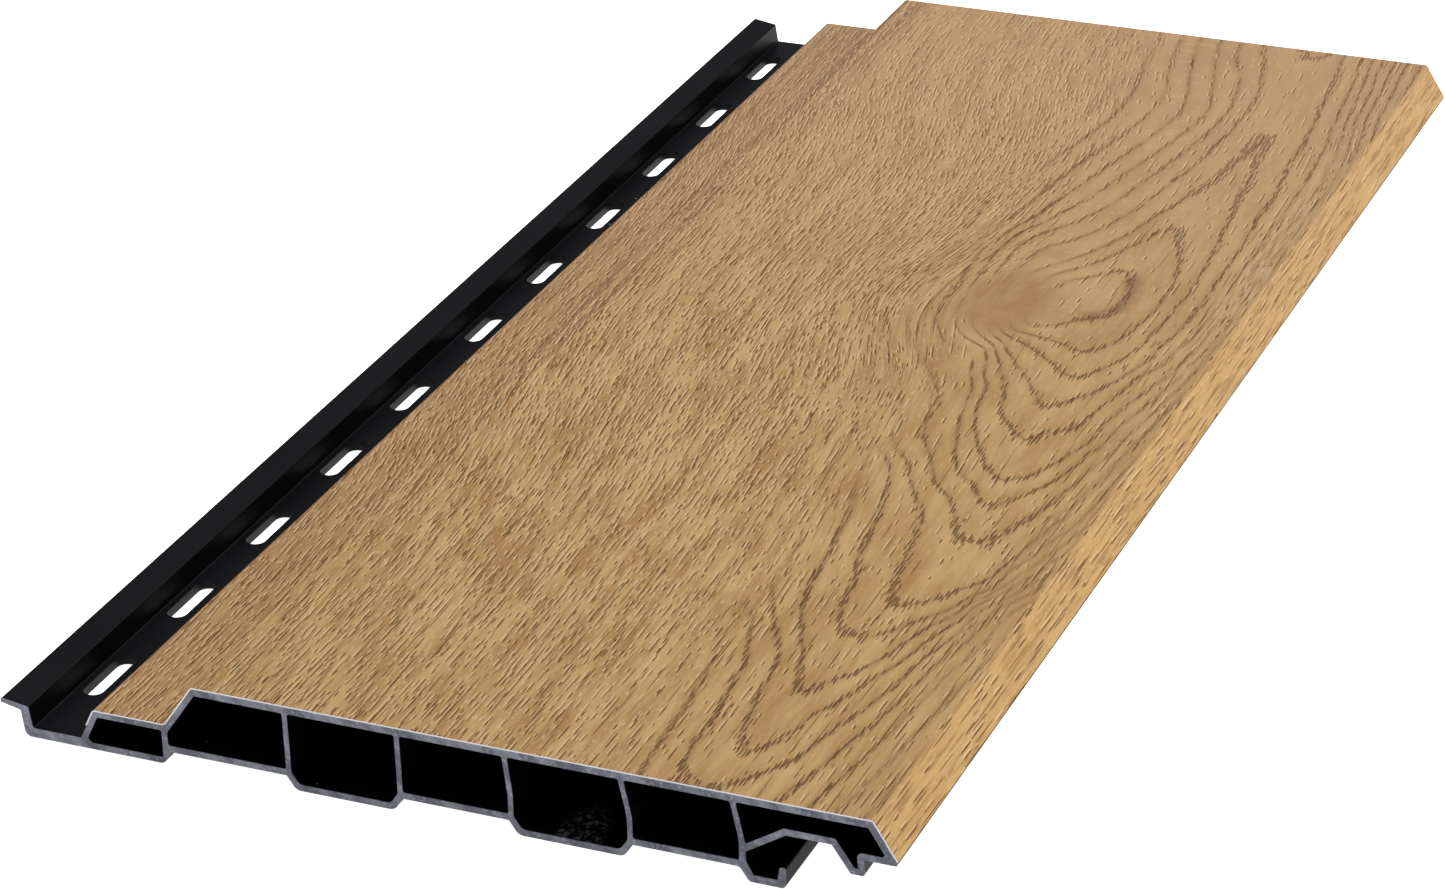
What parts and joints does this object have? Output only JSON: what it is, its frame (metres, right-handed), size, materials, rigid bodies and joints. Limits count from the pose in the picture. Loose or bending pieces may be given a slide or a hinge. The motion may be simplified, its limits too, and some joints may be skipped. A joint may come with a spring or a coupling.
{
  "type": "wall cladding panel",
  "caption": "Hollow outdoor wall cladding plank with an oak pattern foil, a slotted nail flange on one side and a bevelled nose with a hook on the other.",
  "frame": {"origin": "centre of the bounding box's bottom face, on the plane of the back", "axes": "+X across the panel from the nail flange to the nose, +Y along the extrusion, +Z out of the wall to the visible face"},
  "size_m": [0.174, 0.361, 0.0169],
  "materials": {
    "black_plastic": "through coloured, extruded, sawn ends",
    "oak_foil": "laminated foil with an oak pattern and embossed pores"
  },
  "bodies": {
    "root": {"panel_profile": "black_plastic", "decor_foil": "oak_foil"}
  },
  "joints": []
}
